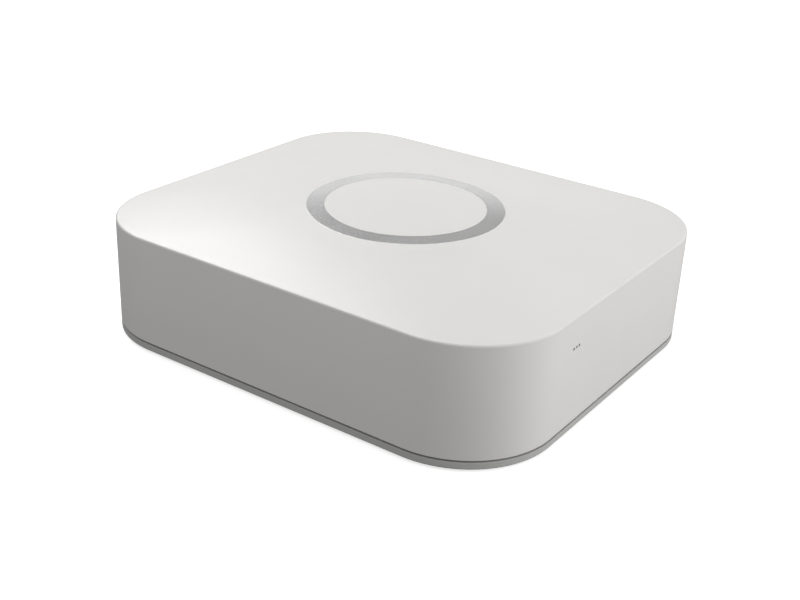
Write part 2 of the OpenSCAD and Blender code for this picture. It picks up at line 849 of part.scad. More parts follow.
module crystals() {
    color(STEEL) {
        on_board(-board_half_x + CRYSTAL[0], bay_rear + CRYSTAL[1]) chip(CRYSTAL[2]);
        on_board(ethernet_x, bay_rear + SOCKET_CRYSTAL_FROM_BAY) chip(SOCKET_CRYSTAL);
    }
}

// Radios on the two side strips of the board
module mesh_radio() {
    color([0.1, 0.16, 0.4]) on_board(-radio_x, radio_y) chip(RADIO);
}

module long_range_radio() {
    color(GREEN) on_board(radio_x, radio_y) chip(RADIO);
}

module radio_shields() {
    color(STEEL)
        for (side = [-1, 1])
            on_board(side * radio_x, radio_y + RADIO_CAN_Y)
                translate([0, 0, RADIO.z]) shield_can(RADIO_CAN, 3, 2);
}

// Stamped antenna: an upright blade on two legs, with a bent top strip
module antenna() {
    translate([0, -ANTENNA_L / 2, ANTENNA_BLADE_Z])
        cube([SHEET, ANTENNA_L, ANTENNA_H - ANTENNA_BLADE_Z]);
    translate([-ANTENNA_STRIP, -ANTENNA_L / 2, ANTENNA_H - SHEET])
        cube([ANTENNA_STRIP + SHEET, ANTENNA_L, SHEET]);
    for (k = [0, 1])
        translate([0, -ANTENNA_L / 2 + k * ANTENNA_LEG_PITCH, 0])
            cube([SHEET, ANTENNA_LEG, ANTENNA_BLADE_Z + CUT]);
}

module antennas() {
    color(STEEL)
        for (side = [0, 1])
            mirror([side, 0, 0]) on_board(board_half_x - ANTENNA_INSET, antenna_y) antenna();
}

module inductors() {
    color(DARK)
        for (k = [0, 1])
            on_board(board_half_x - INDUCTOR_INSET, bay_rear + 6 + INDUCTOR_PITCH * k)
                difference() {
                    chip(INDUCTOR);
                    for (side = [-1, 1])
                        translate([side * INDUCTOR.x / 2, 0, -CUT])
                            cylinder(h = INDUCTOR.z + 2 * CUT, r = INDUCTOR_NOTCH_R);
                }
}

module capacitors() {
    color([0.3, 0.32, 0.38])
        for (k = [0, 1])
            on_board(capacitor_x + CAPACITOR_PITCH * k, capacitor_y)
                rotate_extrude()
                    polygon([
                        [0, 0], [CAPACITOR_R, 0], [CAPACITOR_R, CAPACITOR_GROOVE_Z - 2 * CAPACITOR_GROOVE],
                        [CAPACITOR_R - CAPACITOR_GROOVE, CAPACITOR_GROOVE_Z],
                        [CAPACITOR_R, CAPACITOR_GROOVE_Z + 2 * CAPACITOR_GROOVE],
                        [CAPACITOR_R, CAPACITOR_H], [0, CAPACITOR_H]
                    ]);
}

module ethernet_shell() {
    color(STEEL) difference() {
        box_at(ethernet_x, socket_y - ethernet_d, board_top, ethernet_w, ethernet_d, ethernet_h);
        box_at(
            ethernet_x, socket_y - ethernet_d + SHEET, ethernet_floor,
            ethernet_w - 2 * SHEET, ethernet_d - 2 * SHEET, ethernet_h - 2 * SHEET
        );
        plug_cavity(socket_y - 2 * SHEET, 2 * SHEET + CUT, FACE_GAP);
    }
}

// Space for the plug and its latch, grown by a clearance
module plug_cavity(y, d, gap) {
    box_at(ethernet_x, y, plug_z - gap, PLUG_W + 2 * gap, d, PLUG_H + 2 * gap);
    box_at(ethernet_x, y, plug_z - LATCH_H - gap, LATCH_W + 2 * gap, d, LATCH_H + 2 * gap);
    box_at(ethernet_x, y, latch_z - gap, CATCH_W + 2 * gap, d, CATCH_H + LATCH_H + gap);
}

module ethernet_insert() {
    color(DARK) difference() {
        box_at(
            ethernet_x, socket_y - ethernet_d + SHEET, ethernet_floor,
            ethernet_w - 2 * SHEET, ethernet_d - 2 * SHEET, ethernet_h - 2 * SHEET
        );
        plug_cavity(socket_y - PLUG_DEPTH, PLUG_DEPTH + CUT, 0);
    }
}

// Eight spring wires that slope down and back into the plug's space
module ethernet_contacts() {
    contact_top = plug_z + PLUG_H;
    color(GOLD)
        for (i = [0:CONTACTS - 1])
            translate([ethernet_x + (i - (CONTACTS - 1) / 2) * CONTACT_PITCH, 0, 0])
                rotate([90, 0, 90])
                    linear_extrude(CONTACT_W, center = true)
                        polygon([
                            [socket_y - CONTACT_FRONT, contact_top],
                            [socket_y - CONTACT_BACK, contact_top - CONTACT_FALL],
                            [socket_y - CONTACT_BACK, contact_top - CONTACT_FALL - CONTACT_T],
                            [socket_y - CONTACT_FRONT - CONTACT_FALL, contact_top - CONTACT_T]
                        ]);
}

module ethernet_magnetics() {
    color(DARK) on_board(ethernet_x, socket_y - ethernet_d - MAGNETICS_FROM_SOCKET) chip(MAGNETICS);
}

module usb_shell() {
    color(STEEL) difference() {
        box_at(usb_x, socket_y - usb_d, board_top, usb_w, usb_d, usb_h);
        box_at(
            usb_x, socket_y - usb_d + USB_SHEET, board_top + USB_SHEET,
            usb_w - 2 * USB_SHEET, usb_d - 2 * USB_SHEET, usb_h - 2 * USB_SHEET
        );
        for (z = usb_z) box_at(usb_x, socket_y - CUT, z, USB_OPEN_W, 2 * CUT, USB_OPEN_H);
    }
}

module usb_insert() {
    y = socket_y - usb_d + USB_SHEET;
    depth = usb_d - 2 * USB_SHEET;
    color([0.9, 0.9, 0.88]) {
        difference() {
            box_at(
                usb_x, y, board_top + USB_SHEET,
                usb_w - 2 * USB_SHEET, depth, usb_h - 2 * USB_SHEET
            );
            for (z = usb_z) box_at(usb_x, y + USB_BACK, z, USB_OPEN_W, depth, USB_OPEN_H);
        }
        for (z = usb_z)
            box_at(
                usb_x, y + USB_BACK - USB_TONGUE_ROOT, z + USB_OPEN_H - USB_TONGUE_TOP - USB_TONGUE_T,
                USB_TONGUE_W, USB_TONGUE_L + USB_TONGUE_ROOT, USB_TONGUE_T
            );
    }
}

module usb_contacts() {
    below_tongue = USB_OPEN_H - USB_TONGUE_TOP - USB_TONGUE_T - USB_PIN_T;
    color(GOLD)
        for (z = usb_z)
            for (i = [0:USB_PINS - 1])
                box_at(
                    usb_x + (i - (USB_PINS - 1) / 2) * USB_PIN_PITCH, socket_y - usb_d + USB_SHEET + USB_BACK,
                    z + below_tongue, USB_PIN_W, USB_TONGUE_L - USB_PIN_SHORT, USB_PIN_T
                );
}

// Power inlet: a block with a round barrel, its pin and the leaf that presses on the plug
module dc_housing() {
    color(DARK) difference() {
        box_at(dc_x, socket_y - dc_d, board_top, dc_w, dc_d, dc_h);
        translate([dc_x, socket_y - DC_BARREL_L, dc_z]) y_cylinder(dc_barrel_r, DC_BARREL_L + CUT);
        box_at(
            dc_x, socket_y - DC_BARREL_L, dc_z - dc_barrel_r - DC_LEAF_T,
            DC_LEAF_W, DC_BARREL_L - DC_LEAF_SHORT, dc_barrel_r
        );
    }
}

module dc_pin() {
    color(STEEL)
        translate([dc_x, socket_y - DC_BARREL_L, dc_z])
            rotate([-90, 0, 0])
                rotate_extrude()
                    polygon([
                        [0, 0], [dc_pin_r, 0], [dc_pin_r, DC_PIN_L - DC_PIN_TIP],
                        [dc_pin_r - DC_PIN_POINT, DC_PIN_L], [0, DC_PIN_L]
                    ]);
}

module dc_spring() {
    color(STEEL)
        box_at(
            dc_x, socket_y - DC_BARREL_L, dc_z - dc_barrel_r - DC_LEAF_T,
            DC_LEAF_W, DC_BARREL_L - DC_LEAF_SHORT, DC_LEAF_T
        );
}

module status_led() {
    color("white") on_board(indicator_x, led_y) chip(LED);
}

module reset_switch() {
    color(DARK) difference() {
        box_at(reset_x, switch_y - SWITCH.y, board_top, SWITCH.x, SWITCH.y, SWITCH.z);
        translate([reset_x, switch_y - PLUNGER_IN - PLUNGER_SPARE - plunger_travel, plunger_z])
            y_cylinder(plunger_r + plunger_gap, SWITCH.y);
    }
}

module reset_plunger() {
    color([0.75, 0.72, 0.6])
        translate([reset_x, switch_y - PLUNGER_IN, plunger_z]) y_cylinder(plunger_r, PLUNGER_IN + PLUNGER_OUT);
}

// Screw standing on its seat at height 0: its head reaches head_h down and its shank shank_l up
module screw(head_r, head_h, shank_r, shank_l) {
    difference() {
        union() {
            translate([0, 0, -head_h]) cylinder(h = head_h, r = head_r);
            cylinder(h = shank_l, r = shank_r);
        }
        for (a = [0, 90])
            rotate([0, 0, a])
                translate([0, 0, -head_h])
                    cube([1.3 * head_r, DRIVE_SLOT, head_h], center = true);
    }
}

module case_screws() {
    shank_l = post_z - case_seat_z + case_screw_l - SCREW_END_GAP;
    color(STEEL)
        four_places(post_x, post_y)
            translate([0, 0, case_seat_z])
                screw(case_head_r, CASE_HEAD_H, case_screw_r, shank_l);
}

module board_screws() {
    color(STEEL)
        for (p = BOARD_SCREWS)
            translate([p.x, p.y, board_top])
                mirror([0, 0, 1]) screw(BOARD_HEAD_R, BOARD_HEAD_H, board_screw_r, BOARD_SCREW_L - HEAD_GAP);
}

top_shell();
ring_trim();
light_pipe();
chassis();
bottom_cover();
feet();
rating_label();
battery_cells();
battery_springs();
battery_plates();
main_board();
processor();
thermal_pad();
memory_chips();
processor_shield();
power_chips();
crystals();
mesh_radio();
long_range_radio();
radio_shields();
antennas();
inductors();
capacitors();
ethernet_shell();
ethernet_insert();
ethernet_contacts();
ethernet_magnetics();
usb_shell();
usb_insert();
usb_contacts();
dc_housing();
dc_pin();
dc_spring();
status_led();
reset_switch();
reset_plunger();
case_screws();
board_screws();
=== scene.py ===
"""Looks of the smart home hub: shell, ring, cover, sockets and electronics around the fixed frame. Metres."""

import math

import bmesh
import bpy
from mathutils import Matrix, Vector


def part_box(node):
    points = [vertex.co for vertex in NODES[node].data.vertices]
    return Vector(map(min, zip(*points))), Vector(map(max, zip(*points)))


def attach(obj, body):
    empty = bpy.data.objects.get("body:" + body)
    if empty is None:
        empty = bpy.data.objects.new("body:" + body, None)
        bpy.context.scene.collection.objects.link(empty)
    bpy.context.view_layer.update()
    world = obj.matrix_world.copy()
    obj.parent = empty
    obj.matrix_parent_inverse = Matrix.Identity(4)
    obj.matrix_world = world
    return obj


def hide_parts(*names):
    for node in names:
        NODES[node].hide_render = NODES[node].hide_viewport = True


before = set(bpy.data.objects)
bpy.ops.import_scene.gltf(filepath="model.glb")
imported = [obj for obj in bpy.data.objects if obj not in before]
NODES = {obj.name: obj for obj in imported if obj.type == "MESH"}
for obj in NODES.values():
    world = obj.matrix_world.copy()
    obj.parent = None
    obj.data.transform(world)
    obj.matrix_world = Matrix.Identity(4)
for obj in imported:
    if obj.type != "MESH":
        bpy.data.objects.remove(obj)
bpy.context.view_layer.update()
MM = 0.001

# Sizes of the enclosure, from the frame
SHELL_LOW, SHELL_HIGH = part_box("top_shell")
COVER_LOW, COVER_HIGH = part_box("bottom_cover")
RING_LOW, RING_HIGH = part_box("ring_trim")
BODY_W = SHELL_HIGH.x - SHELL_LOW.x
BODY_D = SHELL_HIGH.y - SHELL_LOW.y
SHELL_TOP = SHELL_HIGH.z
CROWN = 3.3 * MM
EDGE_Z = SHELL_TOP - CROWN
CORNER_R = 23 * MM
EDGE_R = 0.55 * MM
WALL = 2.2 * MM
ROUNDING = 0.95
RING_OUTER = (RING_HIGH.x - RING_LOW.x) / 2
RING_INNER = 20.2 * MM
RING_RECESS = 0.02 * MM
RING_GAP = 0.02 * MM


# ---------------------------------------------------------------- materials

class Nodes:
    """A material's node tree with short calls for the nodes that these finishes share."""

    def __init__(self, name):
        self.material = bpy.data.materials.new(name)
        self.material.use_nodes = True
        self.tree = self.material.node_tree
        self.shader = self.tree.nodes["Principled BSDF"]
        self.place = self.add("ShaderNodeTexCoord").outputs["Object"]

    def add(self, kind, **settings):
        node = self.tree.nodes.new(kind)
        for key, value in settings.items():
            setattr(node, key, value)
        return node

    def link(self, source, target):
        self.tree.links.new(source, target)

    def set(self, **values):
        """Constant values on the shader's own sockets, such as roughness=0.4."""
        names = {key.lower().replace(" ", "_"): key for key in self.shader.inputs.keys()}
        for key, value in values.items():
            self.shader.inputs[names[key]].default_value = value

    def mapped(self, scale=(1, 1, 1), turn=(0, 0, 0), shift=(0, 0, 0)):
        mapping = self.add("ShaderNodeMapping")
        mapping.inputs["Scale"].default_value = scale
        mapping.inputs["Rotation"].default_value = turn
        mapping.inputs["Location"].default_value = shift
        self.link(self.place, mapping.inputs["Vector"])
        return mapping.outputs["Vector"]

    def noise(self, size, detail=3.0, rough=0.5, vector=None):
        """Noise whose main features are about size metres across."""
        noise = self.add("ShaderNodeTexNoise")
        noise.inputs["Scale"].default_value = 1 / size
        noise.inputs["Detail"].default_value = detail
        noise.inputs["Roughness"].default_value = rough
        self.link(vector or self.place, noise.inputs["Vector"])
        return noise.outputs["Fac"]

    def ramp(self, value, low, high, to_low=0.0, to_high=1.0):
        part = self.add("ShaderNodeMapRange")
        part.inputs["From Min"].default_value = low
        part.inputs["From Max"].default_value = high
        part.inputs["To Min"].default_value = to_low
        part.inputs["To Max"].default_value = to_high
        self.link(value, part.inputs["Value"])
        return part.outputs["Result"]

    def math(self, operation, a, b):
        node = self.add("ShaderNodeMath", operation=operation)
        for socket, value in zip(node.inputs, (a, b)):
            if isinstance(value, (int, float)):
                socket.default_value = value
            else:
                self.link(value, socket)
        return node.outputs["Value"]

    def mix(self, share, first, second):
        """Colour between first and second; each is a colour or another node's output."""
        node = self.add("ShaderNodeMix", data_type="RGBA")
        self.link(share, node.inputs["Factor"])
        for socket, value in ((node.inputs[6], first), (node.inputs[7], second)):
            if isinstance(value, tuple):
                socket.default_value = (*value, 1)
            else:
                self.link(value, socket)
        return node.outputs[2]

    def colour(self, output):
        self.link(output, self.shader.inputs["Base Color"])

    def roughness(self, output):
        self.link(output, self.shader.inputs["Roughness"])

    def bump(self, height, depth, strength=1.0):
        """Bump of the given depth in metres; bumps chain, so that each adds to the last."""
        bump = self.add("ShaderNodeBump")
        bump.inputs["Distance"].default_value = depth
        bump.inputs["Strength"].default_value = strength
        self.link(height, bump.inputs["Height"])
        before = self.shader.inputs["Normal"].links
        if before:
            self.link(before[0].from_socket, bump.inputs["Normal"])
        self.link(bump.outputs["Normal"], self.shader.inputs["Normal"])


def moulded_plastic(name, light, dark, rough, grain=0.25 * MM, depth=0.01 * MM, **more):
    """Injection-moulded plastic: spark-eroded grain, faint cloudiness in colour and gloss."""
    m = Nodes(name)
    m.set(roughness=rough, ior=1.46, **more)
    cloud = m.noise(14 * MM, detail=2)
    fleck = m.noise(grain * 2.5, detail=2)
    tone = m.mix(m.ramp(cloud, 0.3, 0.7), light, dark)
    m.colour(m.mix(m.ramp(fleck, 0.62, 0.9, 0, 0.12), tone, tuple(0.8 * c for c in dark)))
    m.roughness(m.ramp(m.noise(5 * MM, detail=4), 0.25, 0.75, rough - 0.035, rough + 0.035))
    m.bump(m.noise(grain, detail=1), depth)
    return m.material


def satin_metal(name, light, dark, rough, grain=(1, 1, 1), size=0.4 * MM, depth=0.004 * MM, **more):
    """Metal with a drawn or rolled grain: grain squeezes the noise along each axis."""
    m = Nodes(name)
    m.set(metallic=1.0, roughness=rough, **more)
    streak = m.noise(size, detail=3, vector=m.mapped(scale=grain))
    m.colour(m.mix(m.ramp(streak, 0.3, 0.7), light, dark))
    m.roughness(m.ramp(m.noise(3 * MM, detail=4), 0.25, 0.75, rough - 0.05, rough + 0.06))
    m.bump(streak, depth)
    return m.material


def spun_ring():
    """Satin ring with fine circular turning marks round its own axis."""
    m = Nodes("satin_spun_metal")
    m.set(metallic=0.8, roughness=0.2, anisotropic=0.3)
    apart = m.add("ShaderNodeSeparateXYZ")
    m.link(m.place, apart.inputs[0])
    squares = m.math("ADD", m.math("MULTIPLY", apart.outputs[0], apart.outputs[0]),
                     m.math("MULTIPLY", apart.outputs[1], apart.outputs[1]))
    radius = m.math("SQRT", squares, 0.5)
    lines = m.add("ShaderNodeTexNoise", noise_dimensions="1D")
    lines.inputs["Scale"].default_value = 1 / (0.3 * MM)
    lines.inputs["Detail"].default_value = 3
    m.link(radius, lines.inputs["W"])
    m.colour(m.mix(m.ramp(lines.outputs["Fac"], 0.3, 0.7), (0.80, 0.80, 0.795), (0.72, 0.72, 0.715)))
    m.roughness(m.ramp(m.noise(6 * MM, detail=3), 0.3, 0.7, 0.18, 0.22))
    m.bump(lines.outputs["Fac"], 0.0007 * MM)
    turned = m.add("ShaderNodeTangent", direction_type="RADIAL", axis="Z")
    m.link(turned.outputs["Tangent"], m.shader.inputs["Tangent"])
    return m.material


def circuit_board(name, mask, copper, silk=(0.82, 0.83, 0.8)):
    """Solder mask with raised copper tracks, plated holes and a faint glass weave."""
    m = Nodes(name)
    m.set(roughness=0.34, ior=1.5, coat_weight=0.25, coat_roughness=0.12)
    cells = m.add("ShaderNodeTexVoronoi", feature="DISTANCE_TO_EDGE", distance="MANHATTAN")
    cells.inputs["Scale"].default_value = 1 / (3.4 * MM)
    cells.inputs["Randomness"].default_value = 0.75
    m.link(m.place, cells.inputs["Vector"])
    tracks = m.ramp(cells.outputs["Distance"], 0.05, 0.075)
    holes = m.add("ShaderNodeTexVoronoi", feature="F1")
    holes.inputs["Scale"].default_value = 1 / (4.2 * MM)
    m.link(m.place, holes.inputs["Vector"])
    pad = m.ramp(holes.outputs["Distance"], 0.1, 0.13, 1, 0)
    weave = m.add("ShaderNodeTexChecker")
    weave.inputs["Scale"].default_value = 1 / (0.45 * MM)
    m.link(m.mapped(), weave.inputs["Vector"])
    board = m.mix(m.ramp(weave.outputs["Fac"], 0, 1, 0, 0.12), mask, tuple(0.6 * c for c in mask))
    tracked = m.mix(tracks, tuple(min(1, 1.5 * c + 0.015) for c in mask), board)
    m.colour(m.mix(pad, tracked, copper))
    m.bump(tracks, 0.02 * MM)
    return m.material


def glassy(name, tint, rough=0.12):
    """Clear moulded plastic with faint flow lines."""
    m = Nodes(name)
    m.set(roughness=rough, ior=1.49, transmission_weight=0.85)
    flow = m.noise(1.2 * MM, detail=3, vector=m.mapped(scale=(1, 1, 0.3)))
    m.colour(m.mix(m.ramp(flow, 0.3, 0.7), tint, tuple(0.9 * c for c in tint)))
    m.bump(flow, 0.004 * MM)
    return m.material


def cell_sleeve():
    """Printed film sleeve of a cell: dark body, pale collar near the nub end, thin ring lines."""
    m = Nodes("printed_cell_sleeve")
    m.set(metallic=0.35, roughness=0.32, coat_weight=0.5, coat_roughness=0.1)
    low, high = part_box("battery_cells")
    apart = m.add("ShaderNodeSeparateXYZ")
    m.link(m.place, apart.inputs[0])
    middle = (low.y + high.y) / 2
    offset = m.math("ABSOLUTE", m.math("SUBTRACT", apart.outputs[1], middle), 0)
    collar = m.ramp(offset, 15.6 * MM, 15.8 * MM)
    line_start = m.ramp(offset, 14.4 * MM, 14.5 * MM)
    line_end = m.ramp(offset, 15.0 * MM, 15.1 * MM, 1, 0)
    line = m.math("MULTIPLY", line_start, line_end)
    film = m.noise(0.6 * MM, detail=3)
    dark = m.mix(m.ramp(film, 0.3, 0.7), (0.035, 0.045, 0.07), (0.05, 0.06, 0.09))
    banded = m.mix(collar, dark, (0.55, 0.57, 0.6))
    m.colour(m.mix(line, banded, (0.6, 0.62, 0.64)))
    m.bump(film, 0.006 * MM)
    return m.material


def blank_label():
    """Coated paper with a fine fibre."""
    m = Nodes("blank_coated_label")
    m.set(roughness=0.55, ior=1.45)
    fibre = m.noise(0.3 * MM, detail=5, rough=0.7)
    m.colour(m.mix(m.ramp(fibre, 0.3, 0.7), (0.78, 0.78, 0.77), (0.70, 0.70, 0.69)))
    m.bump(fibre, 0.004 * MM)
    return m.material


def matte_package(name, light, dark, rough=0.6):
    """Moulded chip package: fine speckle and a slightly polished feel."""
    m = Nodes(name)
    m.set(roughness=rough, ior=1.5)
    speckle = m.noise(0.12 * MM, detail=3, rough=0.6)
    m.colour(m.mix(m.ramp(speckle, 0.35, 0.65), light, dark))
    m.bump(speckle, 0.006 * MM)
    return m.material


FINISH = {
    "shell": moulded_plastic("white_satin_plastic", (0.80, 0.79, 0.775), (0.79, 0.78, 0.765), 0.34),
    "ring": spun_ring(),
    "pipe": glassy("clear_plastic", (0.35, 0.37, 0.4)),
    # The chassis's near-black colour is painted shade: it darkens the gap between shell and cover, where the
    # real part may be a paler plastic.
    "chassis": moulded_plastic("dark_plastic_painted_gap_shade", (0.022, 0.022, 0.024), (0.03, 0.03, 0.032), 0.6),
    "cover": moulded_plastic("grey_matte_plastic", (0.5, 0.5, 0.485), (0.485, 0.485, 0.47), 0.5),
    "rubber": moulded_plastic("dark_rubber", (0.02, 0.02, 0.02), (0.028, 0.028, 0.028), 0.8,
                              0.35 * MM, 0.03 * MM),
    "label": blank_label(),
    "sleeve": cell_sleeve(),
    "spring": satin_metal("bright_spring_steel", (0.62, 0.62, 0.63), (0.5, 0.5, 0.52), 0.25),
    "board": circuit_board("green_circuit_board", (0.012, 0.11, 0.05), (0.75, 0.55, 0.25)),
    "blue_board": circuit_board("blue_circuit_board", (0.015, 0.04, 0.2), (0.75, 0.55, 0.25)),
    "chip": matte_package("black_chip_package", (0.025, 0.025, 0.027), (0.014, 0.014, 0.016)),
    "pad": matte_package("grey_thermal_pad", (0.28, 0.33, 0.42), (0.24, 0.29, 0.38), 0.8),
    "can": satin_metal("tinned_sheet_steel", (0.66, 0.66, 0.65), (0.56, 0.56, 0.56), 0.32, (1, 0.15, 1)),
    "ferrite": matte_package("dull_ferrite", (0.06, 0.06, 0.065), (0.035, 0.035, 0.04), 0.7),
    "capacitor": satin_metal("drawn_aluminium", (0.72, 0.73, 0.74), (0.62, 0.63, 0.64), 0.28, (1, 1, 0.1)),
    "black": moulded_plastic("black_socket_plastic", (0.012, 0.012, 0.013), (0.018, 0.018, 0.019), 0.45),
    "pale": moulded_plastic("pale_socket_plastic", (0.72, 0.72, 0.7), (0.68, 0.68, 0.66), 0.45),
    "gold": satin_metal("gold_plating", (0.83, 0.6, 0.25), (0.75, 0.52, 0.2), 0.2),
    "lamp": matte_package("lamp_package", (0.8, 0.8, 0.72), (0.72, 0.72, 0.64), 0.35),
    "button": moulded_plastic("cream_button_plastic", (0.5, 0.46, 0.34), (0.46, 0.42, 0.3), 0.5),
    "screw": satin_metal("zinc_plated_steel", (0.55, 0.55, 0.57), (0.45, 0.45, 0.48), 0.3),
}


# ---------------------------------------------------------------- making pieces

def to_piece(name, bm, finish, body, replaced=(), smooth=35):
    """Turns a bmesh into a finished piece that rides on a body and may stand for CAD nodes."""
    mesh = bpy.data.meshes.new(name)
    bmesh.ops.recalc_face_normals(bm, faces=bm.faces)
    bm.to_mesh(mesh)
    bm.free()
    return place_piece(name, mesh, finish, body, replaced, smooth)


def place_piece(name, mesh, finish, body, replaced=(), smooth=35):
    """Gives a mesh its finish and body and links it; it stands for the CAD nodes in replaced."""
    mesh.materials.clear()
    mesh.materials.append(FINISH[finish])
    mesh.shade_smooth()
    mesh.set_sharp_from_angle(angle=math.radians(smooth))
    piece = bpy.data.objects.new(name, mesh)
    bpy.context.scene.collection.objects.link(piece)
    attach(piece, body)
    if replaced:
        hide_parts(*replaced)
    return piece


def softened(node, finish, width, segments=2, body="hub", smooth=35):
    """A CAD node's shape with its sharp edges rounded as moulding or forming leaves them."""
    bm = bmesh.new()
    bm.from_mesh(NODES[node].data)
    bmesh.ops.remove_doubles(bm, verts=bm.verts, dist=0.002 * MM)
    bmesh.ops.dissolve_limit(bm, angle_limit=math.radians(1), verts=bm.verts, edges=bm.edges)
    mesh = bpy.data.meshes.new(node + "_piece")
    bm.to_mesh(mesh)
    bm.free()
    piece = place_piece(node + "_piece", mesh, finish, body, (node,), smooth)
    bevel = piece.modifiers.new("soft_edges", "BEVEL")
    bevel.width = width
    bevel.segments = segments
    bevel.limit_method = "ANGLE"
    bevel.angle_limit = math.radians(40)
    bevel.harden_normals = False
    bevel.use_clamp_overlap = True
    return piece


# ---------------------------------------------------------------- crowned shell and ring

def rounded_box_distance(x, y, half_x, half_y, r):
    """Signed distance from a point to a rounded rectangle's outline."""
    qx, qy = abs(x) - half_x + r, abs(y) - half_y + r
    return math.hypot(max(qx, 0), max(qy, 0)) + min(max(qx, qy), 0) - r


FLAT_W = BODY_W - 2 * EDGE_R
FLAT_D = BODY_D - 2 * EDGE_R
FLAT_R = CORNER_R - EDGE_R


def level_radius(t, w=FLAT_W, r=FLAT_R):
    """Corner radius of the crown's level line t, which grows rounder towards the middle."""
    return t * (r + (ROUNDING * w / 2 - r) * (1 - t))


def crown_level(x, y):
    """Which level line of the crown a point lies on: 1 at the edge, 0 in the middle."""
    low, high = 0.0, 1.2
    for _ in range(30):
        t = (low + high) / 2
        if rounded_box_distance(x, y, t * FLAT_W / 2, t * FLAT_D / 2, level_radius(t)) > 0:
            low = t
        else:
            high = t
    return low


def crown_z(x, y, drop=0.0):
    """Height of the crown over a point, less a drop."""
    return EDGE_Z + CROWN * (1 - crown_level(x, y) ** 2) - drop


def outline_point(share, w, d, r):
    """Point at a share of the way round a rounded rectangle, from the middle of its +X side."""
    straight_x, straight_y, arc = w - 2 * r, d - 2 * r, math.pi * r / 2
    total = 2 * (straight_x + straight_y) + 4 * arc
    s = (share * total) % total
    parts = [
        (straight_y / 2, lambda s: (w / 2, s)),
        (arc, lambda s: (w / 2 - r + r * math.cos(s / r), d / 2 - r + r * math.sin(s / r))),
        (straight_x, lambda s: (w / 2 - r - s, d / 2)),
        (arc, lambda s: (-w / 2 + r - r * math.sin(s / r), d / 2 - r + r * math.cos(s / r))),
        (straight_y, lambda s: (-w / 2, d / 2 - r - s)),
        (arc, lambda s: (-w / 2 + r - r * math.cos(s / r), -d / 2 + r - r * math.sin(s / r))),
        (straight_x, lambda s: (-w / 2 + r + s, -d / 2)),
        (arc, lambda s: (w / 2 - r + r * math.sin(s / r), -d / 2 + r - r * math.cos(s / r))),
        (straight_y / 2, lambda s: (w / 2, -d / 2 + r + s)),
    ]
    for length, place in parts:
        if s <= length + 1e-12:
            return place(s)
        s -= length
    return w / 2, 0.0


AROUND = 256


def lofted(rings, closed_start=True, closed_end=True):
    """A skin through rings of AROUND points each: ring by ring extrusion from the first circle."""
    bm = bmesh.new()
    first = [bm.verts.new(p) for p in rings[0]]
    edges = [bm.edges.new((a, b)) for a, b in zip(first, first[1:] + first[:1])]
    if closed_start:
        bm.faces.new(first)
    loop = edges
    for ring in rings[1:]:
        made = bmesh.ops.extrude_edge_only(bm, edges=loop)["geom"]
        verts = [g for g in made if isinstance(g, bmesh.types.BMVert)]
        loop = [g for g in made if isinstance(g, bmesh.types.BMEdge)]
        for vert, point in zip(verts, ring):
            vert.co = point
    if closed_end:
        bmesh.ops.edgeloop_fill(bm, edges=loop)
    return bm


def ring_of(w, d, r, z):
    """One ring of the loft; z is a height or a function of x and y."""
    points = [outline_point(i / AROUND, w, d, r) for i in range(AROUND)]
    return [(x, y, z(x, y) if callable(z) else z) for x, y in points]


def circle_of(r, z):
    """A circle whose points face the same way as those of the outline rings."""
    out = []
    for i in range(AROUND):
        x, y = outline_point(i / AROUND, BODY_W, BODY_D, CORNER_R)
        a = math.atan2(y, x)
        cx, cy = r * math.cos(a), r * math.sin(a)
        out.append((cx, cy, z(cx, cy) if callable(z) else z))
    return out


def crown_rings(start, end, steps, drop=0.0):
    """Rings on the crown from level line start down to level line end, given as levels of t."""
    rings = []
    for k in range(steps + 1):
        t = start + (end - start) * k / steps
        rings.append(ring_of(t * FLAT_W, t * FLAT_D, level_radius(t), EDGE_Z + CROWN * (1 - t * t) - drop))
    return rings


def to_circle(ring, circle, steps):
    """Rings that pass from a level line to a circle, each point kept on the crown."""
    out = []
    for k in range(1, steps + 1):
        s = k / steps
        row = []
        for (ax, ay, _), (bx, by, _) in zip(ring, circle):
            x, y = ax + (bx - ax) * s, ay + (by - ay) * s
            row.append((x, y, crown_z(x, y)))
        out.append(row)
    return out


def fillet_rings(steps=8):
    """Rings round the edge between the sides and the crown."""
    rings = []
    for k in range(steps + 1):
        a = math.pi / 2 * k / steps
        inset = EDGE_R * (1 - math.cos(a))
        z = EDGE_Z - EDGE_R + EDGE_R * math.sin(a)
        rings.append(ring_of(BODY_W - 2 * inset, BODY_D - 2 * inset, CORNER_R - inset, z))
    return rings


def cut_with(target, cutters):
    """Cuts closed shapes out of a piece and leaves a plain mesh behind."""
    for cutter in cutters:
        cut = target.modifiers.new("cut", "BOOLEAN")
        cut.operation = "DIFFERENCE"
        cut.object = cutter
        cut.solver = "EXACT"
    bpy.context.view_layer.update()
    graph = bpy.context.evaluated_depsgraph_get()
    mesh = bpy.data.meshes.new_from_object(target.evaluated_get(graph))
    old = target.data
    target.modifiers.clear()
    target.data = mesh
    bpy.data.meshes.remove(old)
    for cutter in cutters:
        bpy.data.objects.remove(cutter)


def cutter_box(centre, size, bevel=0.0):
    """Box to cut with, its edges along Y rounded by bevel."""
    bm = bmesh.new()
    bmesh.ops.create_cube(bm, size=1)
    bmesh.ops.scale(bm, vec=size, verts=bm.verts)
    if bevel:
        along_y = [e for e in bm.edges if abs((e.verts[0].co - e.verts[1].co).normalized().y) > 0.9]
        bmesh.ops.bevel(bm, geom=along_y, offset=bevel, segments=5, profile=0.5, affect="EDGES", material=-1)
    bmesh.ops.translate(bm, vec=centre, verts=bm.verts)
    return cutter_object(bm)


